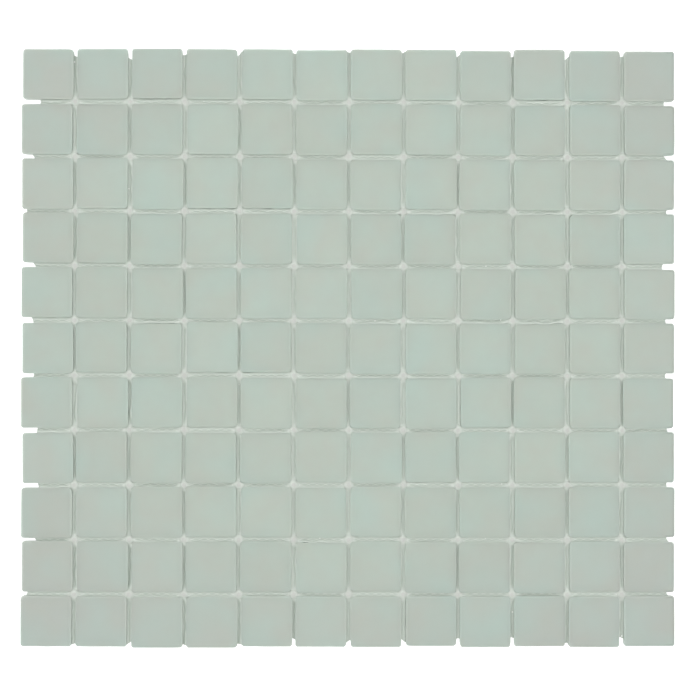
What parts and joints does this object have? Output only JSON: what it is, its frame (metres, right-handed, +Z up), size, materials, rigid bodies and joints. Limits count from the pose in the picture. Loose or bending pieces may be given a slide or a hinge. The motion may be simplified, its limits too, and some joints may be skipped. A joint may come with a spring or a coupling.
{
  "type": "mosaic tile sheet",
  "caption": "Flat mesh-mounted sheet of small square pressed-glass mosaic tiles in straight rows, satin pale green, with open joints for grout.",
  "frame": {"origin": "under the middle of the sheet, on the surface that its mesh lies on", "axes": "+X along the tile rows, to the right in the picture; +Y across the rows, towards the top of the picture; +Z up, out of the tiles' faces"},
  "size_m": [0.3287, 0.3011, 0.0055],
  "materials": {
    "tile_glass": "satin pressed glass, pale sage green, opaque",
    "mesh_yarn": "white glass-fibre yarn with a dull adhesive coating"
  },
  "bodies": {
    "root": {"tile_row_1": "tile_glass", "tile_row_2": "tile_glass", "tile_row_3": "tile_glass", "tile_row_4": "tile_glass", "tile_row_5": "tile_glass", "tile_row_6": "tile_glass", "tile_row_7": "tile_glass", "tile_row_8": "tile_glass", "tile_row_9": "tile_glass", "tile_row_10": "tile_glass", "tile_row_11": "tile_glass", "mesh_warp_yarns": "mesh_yarn", "mesh_weft_yarns": "mesh_yarn"}
  },
  "joints": []
}
